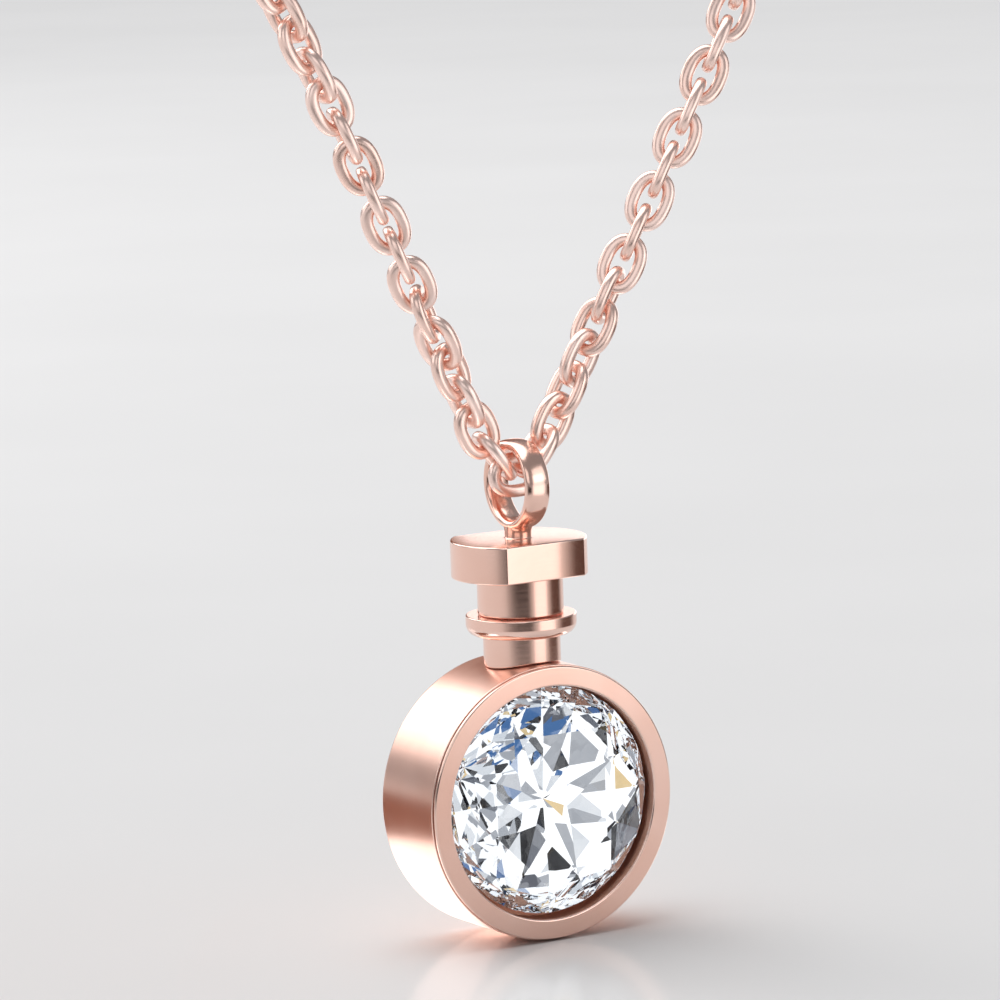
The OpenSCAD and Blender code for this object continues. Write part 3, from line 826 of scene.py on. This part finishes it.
# Each ring behind the girdle: its share of CUT_R, its depth, and the angles of its points.
BACK_RINGS = [(0.62, 0.50, (0,)), (0.72, 0.36, (-HALF_STEP, HALF_STEP)),
              (0.36, 0.80, (0,)), (0.24, 0.80, (-HALF_STEP, HALF_STEP))]
corners = [(0, 0, CROWN_H), ring_point(TABLE_R, CROWN_H, -HALF_STEP),
           ring_point(TABLE_R, CROWN_H, HALF_STEP), ring_point(STAR_R, STAR_Z, 0)]
for depth in (0, GIRDLE_T):
    corners += [ring_point(CUT_R, -depth, a) for a in (-HALF_STEP, 0, HALF_STEP)]
for share, depth, angles in BACK_RINGS:
    corners += [ring_point(share * CUT_R, -GIRDLE_T - depth, a) for a in angles]
corners += [(0, 0, -GIRDLE_T - BACK_H)]
front_facets = [(0, 1, 2), (3, 2, 1), (2, 3, 6), (1, 4, 3), (3, 5, 6), (3, 4, 5)]
girdle_facets = [(4, 7, 8, 5), (5, 8, 9, 6)]
back_facets = [(7, 11, 10), (7, 10, 8), (8, 10, 9), (10, 12, 9), (11, 14, 13), (11, 13, 10),
               (10, 13, 12), (13, 15, 12), (14, 16, 13), (13, 16, 15)]
eighth = bpy.data.meshes.new("eighth")
eighth.from_pydata(corners, [], front_facets + girdle_facets + back_facets)
print("one eighth:", len(eighth.polygons), "facets")

# %% Geometry Nodes: eight turns of it, merged and rounded
def brilliant_tree(glass, foil):
    tree = bpy.data.node_groups.new("brilliant_cut", "GeometryNodeTree")
    tree.interface.new_socket("Eighth", in_out="INPUT", socket_type="NodeSocketGeometry")
    for name, kind, value in (("Turns", "Int", FACETS), ("Girdle radius", "Float", GEM_R),
                              ("Foil below", "Float", -0.02)):
        socket = tree.interface.new_socket(name, in_out="INPUT", socket_type="NodeSocket" + kind)
        socket.default_value = value
    tree.interface.new_socket("Stone", in_out="OUTPUT", socket_type="NodeSocketGeometry")

    def add(kind, settings=None, sockets=None):
        node = tree.nodes.new(kind)
        for key, value in (settings or {}).items():
            setattr(node, key, value)
        for key, value in (sockets or {}).items():
            if isinstance(value, bpy.types.NodeSocket):
                tree.links.new(value, node.inputs[key])
            else:
                node.inputs[key].default_value = value
        return node

    given = add("NodeGroupInput").outputs
    points = add("GeometryNodePoints", None, {"Count": given["Turns"]}).outputs[0]
    step = add("ShaderNodeMath", {"operation": "DIVIDE"}, {0: 2 * math.pi, 1: given["Turns"]})
    angle = add("ShaderNodeMath", {"operation": "MULTIPLY"},
                {0: step.outputs[0], 1: add("GeometryNodeInputIndex").outputs[0]})
    turn = add("FunctionNodeAxisAngleToRotation", None,
               {"Axis": (0, 0, 1), "Angle": angle.outputs[0]})
    copies = add("GeometryNodeInstanceOnPoints", None,
                 {"Points": points, "Instance": given["Eighth"], "Rotation": turn.outputs[0]})
    real = add("GeometryNodeRealizeInstances", None, {"Geometry": copies.outputs[0]})
    whole = add("GeometryNodeMergeByDistance", None,
                {"Geometry": real.outputs[0], "Distance": 0.001})
    barrel = add("GeometryNodeMeshCylinder", None,
                 {"Vertices": 96, "Radius": given["Girdle radius"], "Depth": 20.0})
    cut = add("GeometryNodeMeshBoolean", {"operation": "INTERSECT", "solver": "EXACT"})
    tree.links.new(barrel.outputs[0], cut.inputs["Mesh 2"])
    tree.links.new(whole.outputs[0], cut.inputs["Mesh 2"])
    flat = add("GeometryNodeSetShadeSmooth", None,
               {"Geometry": cut.outputs[0], "Shade Smooth": False})
    clear_all = add("GeometryNodeSetMaterial", None,
                    {"Geometry": flat.outputs[0], "Material": glass})
    at = add("ShaderNodeSeparateXYZ", None, {0: add("GeometryNodeInputPosition").outputs[0]})
    behind = add("FunctionNodeCompare", {"data_type": "FLOAT", "operation": "LESS_THAN"},
                 {0: at.outputs[2], 1: given["Foil below"]})
    dressed = add("GeometryNodeSetMaterial", None,
                  {"Geometry": clear_all.outputs[0], "Selection": behind.outputs[0],
                   "Material": foil})
    tree.links.new(dressed.outputs[0], add("NodeGroupOutput").inputs[0])
    return tree


# %% Foil behind the stone
FOIL_TONES = [(0.3, (0.90, 0.92, 0.94, 1)), (0.7, (0.97, 0.975, 0.98, 1))]


def silver_foil():
    bench = Bench("silver_foil")
    place = bench.node("ShaderNodeTexCoord", out="Object")
    cloud = bench.node("ShaderNodeTexNoise", None, {"Vector": place, "Scale": 900.0, "Detail": 3.0})
    tone = bench.node("ShaderNodeValToRGB", {"stops": FOIL_TONES}, {"Fac": cloud})
    return bench.finish(Base_Color=tone, Metallic=1.0, Roughness=0.0)


# %% The stone in its place
GEM_RISE = 0.08
clear = Bench("clear_cut_stone").finish(Base_Color=(1, 1, 1, 1), Roughness=0.0, IOR=1.5,
                                        Transmission_Weight=1.0)
foil = silver_foil()
stone = grown("brilliant_stone", eighth, brilliant_tree(clear, foil))
onto_face = Matrix((FRONT[0], FRONT[1], FRONT[2])).transposed().to_4x4()
front_of_girdle = Matrix.Translation(Vector(CASE) + Vector((0, -GIRDLE_FRONT, GEM_RISE)))
stone.data.transform(Matrix.Scale(MM, 4) @ front_of_girdle @ onto_face)
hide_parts("stone")
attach(stone, "pendant")
print("stone:", len(stone.data.polygons), "facets with the girdle")

# %% [markdown]
# ## The clasp
#
# The clasp lies at the nape, where no photograph shows it. Its solid has the right shape, so it
# stays and only gets the stopper's finish.

# %% Clasp finish
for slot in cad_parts["clasp"].material_slots:
    slot.material = polished

# %% [markdown]
# ## Floor and light
#
# Polished metal shows nothing but its surroundings, so a photographer lights a pendant with what it
# mirrors: soft boxes for its white parts, and card for its dark lines. The floor is plain and pale
# with a faint mirror image. Its gloss is a small fixed share, because a real glossy floor would
# show the softboxes too. Each softbox is given its brightness, from which its power follows. Boxes
# that only belong in the metal's reflections are linked to the metal pieces, and card is seen by
# reflections alone, so neither changes the light on the floor.

# %% Floor
FLOOR_GAP, FLOOR_REACH, FLOOR_SHINE, FLOOR_ROUGH = 0.06, 3000, 0.11, 0.14
FLOOR_TONES = [(0.3, (0.79, 0.785, 0.78, 1)), (0.7, (0.81, 0.805, 0.80, 1))]
floor_z = EYE[2] + CASE_Z - CASE_R - FLOOR_GAP
floor_bench = Bench("studio_floor")
floor_place = floor_bench.node("ShaderNodeTexCoord", out="Object")
cloud = floor_bench.node("ShaderNodeTexNoise", None, {"Vector": floor_place, "Scale": 25.0})
floor_tone = floor_bench.node("ShaderNodeValToRGB", {"stops": FLOOR_TONES}, {"Fac": cloud})
pale = floor_bench.node("ShaderNodeBsdfDiffuse", None, {"Color": floor_tone})
gloss = floor_bench.node("ShaderNodeBsdfGlossy", None,
                         {"Color": (1, 1, 1, 1), "Roughness": FLOOR_ROUGH})
sheen = floor_bench.node("ShaderNodeMixShader", None, {0: FLOOR_SHINE, 1: pale, 2: gloss})
floor_bench.tree.links.new(sheen.socket, floor_bench.tree.nodes["Material Output"].inputs[0])


def panel(name, corners, material):
    mesh = bpy.data.meshes.new(name)
    mesh.from_pydata([[v * MM for v in corner] for corner in corners], [], [(0, 1, 2, 3)])
    mesh.materials.append(material)
    made = bpy.data.objects.new(name, mesh)
    bpy.context.scene.collection.objects.link(made)


panel("studio_floor", [(x * FLOOR_REACH, y * FLOOR_REACH, floor_z) for x, y in
                       ((-1, -1), (1, -1), (1, 1), (-1, 1))], floor_bench.material)


# %% Softboxes
def round_pendant(azimuth, distance, height):
    """A place in mm, from its direction, its distance and its height over the floor."""
    a = math.radians(azimuth)
    return (math.sin(a) * distance, EYE[1] - math.cos(a) * distance, floor_z + height)


def softbox(name, at, aim, width, height, brightness, only=None):
    lamp = bpy.data.lights.new(name, "AREA")
    lamp.shape, lamp.size, lamp.size_y = "RECTANGLE", width * MM, height * MM
    lamp.energy = math.pi * lamp.size * lamp.size_y * brightness
    made = bpy.data.objects.new(name, lamp)
    bpy.context.scene.collection.objects.link(made)
    made.location = Vector(at) * MM
    made.rotation_euler = (Vector(aim) - Vector(at)).to_track_quat("-Z", "Y").to_euler()
    made.visible_camera = False
    if only:
        made.light_linking.receiver_collection = only


# %% The pieces that the boxes are linked to
METAL = bpy.data.collections.new("metal_pieces")
for metal in (drum, bezel, neck, stopper, chain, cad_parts["clasp"]):
    METAL.objects.link(metal)

# %% Overhead light
sky = bpy.data.lights.new("overhead_light", "SUN")
sky.energy, sky.angle = 2.1, math.radians(70)
overhead = bpy.data.objects.new("overhead_light", sky)
bpy.context.scene.collection.objects.link(overhead)
overhead.rotation_euler = (math.radians(-14), math.radians(-8), 0)

# %% Where the softboxes stand
def upright_softbox(name, azimuth, distance, height, size, brightness):
    """A softbox for the metal alone, that stands at a height and looks level at the pendant."""
    softbox(name, round_pendant(azimuth, distance, height), round_pendant(azimuth, 0, height),
            *size, brightness, METAL)


softbox("back_softbox", (-132, 411, floor_z + 295), (0, EYE[1], floor_z + 12), 340, 330, 2.4)
upright_softbox("front_right_softbox", 25, 50, 24, (32, 40), 0.85)
upright_softbox("back_right_softbox", 131, 130, 30, (100, 56), 1.2)
softbox("low_softbox", (0, -93, floor_z + 0.1), (0, -93, floor_z + 10), 44, 14, 1.3, METAL)
for side, azimuth, brightness in (("right", 35, 1.0), ("left", -110, 1.15), ("front", -40, 0.85)):
    upright_softbox("chain_softbox_" + side, azimuth, 140, 85, (110, 90), brightness)
print("lights:", len(bpy.data.lights))

# %% [markdown]
# Card that is cut out sharply draws a sharp line in the metal. The lines on this pendant fade to
# their sides, so a card carries a `cover` from 0 to 1 along its width, and its material lets the
# rest of the light through. Black card makes the deep lines on the necks, brown card the shade on
# the right, and amber card the warm bands on the drum's side and top.

# %% Card
def card_finish(name, tone):
    bench = Bench(name)
    cover = bench.node("ShaderNodeAttribute", {"attribute_name": "cover"}, out="Fac")
    through = bench.node("ShaderNodeBsdfTransparent")
    paper = bench.node("ShaderNodeBsdfDiffuse", None, {"Color": tone})
    soft = bench.node("ShaderNodeMixShader", None, {0: cover, 1: through, 2: paper})
    bench.tree.links.new(soft.socket, bench.tree.nodes["Material Output"].inputs[0])
    return bench.material


black = card_finish("black_card", (0.015, 0.012, 0.012, 1))
brown = card_finish("brown_card", (0.12, 0.07, 0.055, 1))
amber = card_finish("amber_card", (0.42, 0.19, 0.12, 1))


def card(name, material, distance, bottom, top, columns):
    """columns: (azimuth, cover). The cover is what the card hides, so it can have soft edges."""
    mesh = bpy.data.meshes.new(name)
    verts = [np.array(round_pendant(a, distance, z)) * MM for a, _ in columns
             for z in (bottom, top)]
    mesh.from_pydata([tuple(v) for v in verts], [],
                     [(2 * i, 2 * i + 2, 2 * i + 3, 2 * i + 1) for i in range(len(columns) - 1)])
    mesh.attributes.new("cover", "FLOAT", "POINT").data.foreach_set(
        "value", [cover for _, cover in columns for _ in range(2)])
    mesh.materials.append(material)
    made = bpy.data.objects.new(name, mesh)
    bpy.context.scene.collection.objects.link(made)
    made.visible_camera = made.visible_diffuse = made.visible_shadow = False
    made.visible_transmission = False


card("lens_card", black, 60, 3, 21,
     [(-84, 0), (-70, 0.1), (-60, 0.5), (-50, 0.8), (-38, 1), (-10, 1), (4, 0)])
card("right_card", brown, 60, 2, 21, [(46, 0), (62, 1), (92, 1), (110, 0)])
card("band_card", amber, 18, 0.3, 7, [(-104, 0), (-114, 1), (-148, 1), (-158, 0)])
card("back_card", amber, 150, 28, 112, [(140, 0), (150, 1), (172, 1), (182, 0)])

# %% Room light and the limits of a ray
world = bpy.data.worlds.new("studio")
bpy.context.scene.world = world
world.use_nodes = True
world.node_tree.nodes["Background"].inputs["Color"].default_value = (0.95, 0.96, 1, 1)
world.node_tree.nodes["Background"].inputs["Strength"].default_value = 0.3
bpy.context.scene.view_settings.view_transform = "Standard"
bounces = bpy.context.scene.cycles    # a clear stone sends light round inside many times
bounces.max_bounces, bounces.glossy_bounces, bounces.transmission_bounces = 20, 16, 20
print("room light:", world.name)

# %% [markdown]
# ## A dome for the stone
#
# A cut stone shows a room in pieces: each facet picks one spot of it. A plain studio has too few
# spots, so the stone would be white all over. In a shop it mirrors lamps, windows and dark corners.
# Here a dome of flat patches stands for them: white, greys, black, and a few blue and amber ones
# for the stone's fire. Only rays that pass through the stone see it. It throws no light on the
# rest, and metal and floor don't mirror it. Its lower part is drawn in, to stay above the floor.

# %% Finish of the dome
WHITE_PATCH = (1.3, 1.31, 1.33, 1)
PATCHES = [(0.0, WHITE_PATCH), (0.36, (0.8, 0.83, 0.87, 1)), (0.46, (0.42, 0.44, 0.48, 1)),
           (0.54, (0.14, 0.15, 0.18, 1)), (0.62, (0.012, 0.012, 0.015, 1)),
           (0.79, (0.07, 0.18, 0.42, 1)), (0.82, (0.85, 0.64, 0.34, 1)), (0.86, WHITE_PATCH)]
PATCH_SCALE = 6.6


def dome_finish():
    bench = Bench("stone_dome")
    place = bench.node("ShaderNodeTexCoord", out="Object")
    from_stone = bench.node("ShaderNodeMapping", {"vector_type": "TEXTURE"},
                            {"Vector": place, "Location": Vector(CASE) * MM})
    way = bench.node("ShaderNodeVectorMath", {"operation": "NORMALIZE"}, {0: from_stone})
    cells = bench.node("ShaderNodeTexVoronoi", None, {"Vector": way, "Scale": PATCH_SCALE},
                       out="Color")
    chance = bench.node("ShaderNodeSeparateXYZ", None, {0: cells})
    tone = bench.node("ShaderNodeValToRGB", {"stops": PATCHES}, {"Fac": chance})
    tone.socket.node.color_ramp.interpolation = "CONSTANT"
    glow = bench.node("ShaderNodeEmission", None, {"Color": tone, "Strength": 1.0})
    bench.tree.links.new(glow.socket, bench.tree.nodes["Material Output"].inputs[0])
    bench.material.cycles.emission_sampling = "NONE"
    return bench.material


# %% Dome
DOME_R, DOME_DROP = 60, 6.9
azimuths, pitches = np.radians(np.arange(-180, 181, 10)), np.radians(np.arange(-85, 91, 5))
dome_points = []
for b in pitches:
    reach = min(DOME_R, DOME_DROP / max(-math.sin(b), 0.01))
    for a in azimuths:
        way = np.array([math.sin(a) * math.cos(b), -math.cos(a) * math.cos(b), math.sin(b)])
        dome_points.append(tuple((CASE + reach * way) * MM))
row = len(azimuths)
dome_faces = [(k, k + 1, k + 1 + row, k + row)
              for k in range(row * (len(pitches) - 1)) if (k + 1) % row]
dome_mesh = bpy.data.meshes.new("stone_dome")
dome_mesh.from_pydata(dome_points, [], dome_faces)
dome_mesh.materials.append(dome_finish())
dome = bpy.data.objects.new("stone_dome", dome_mesh)
bpy.context.scene.collection.objects.link(dome)
dome.visible_camera = dome.visible_diffuse = dome.visible_glossy = dome.visible_shadow = False
print("dome:", len(dome_faces), "faces")
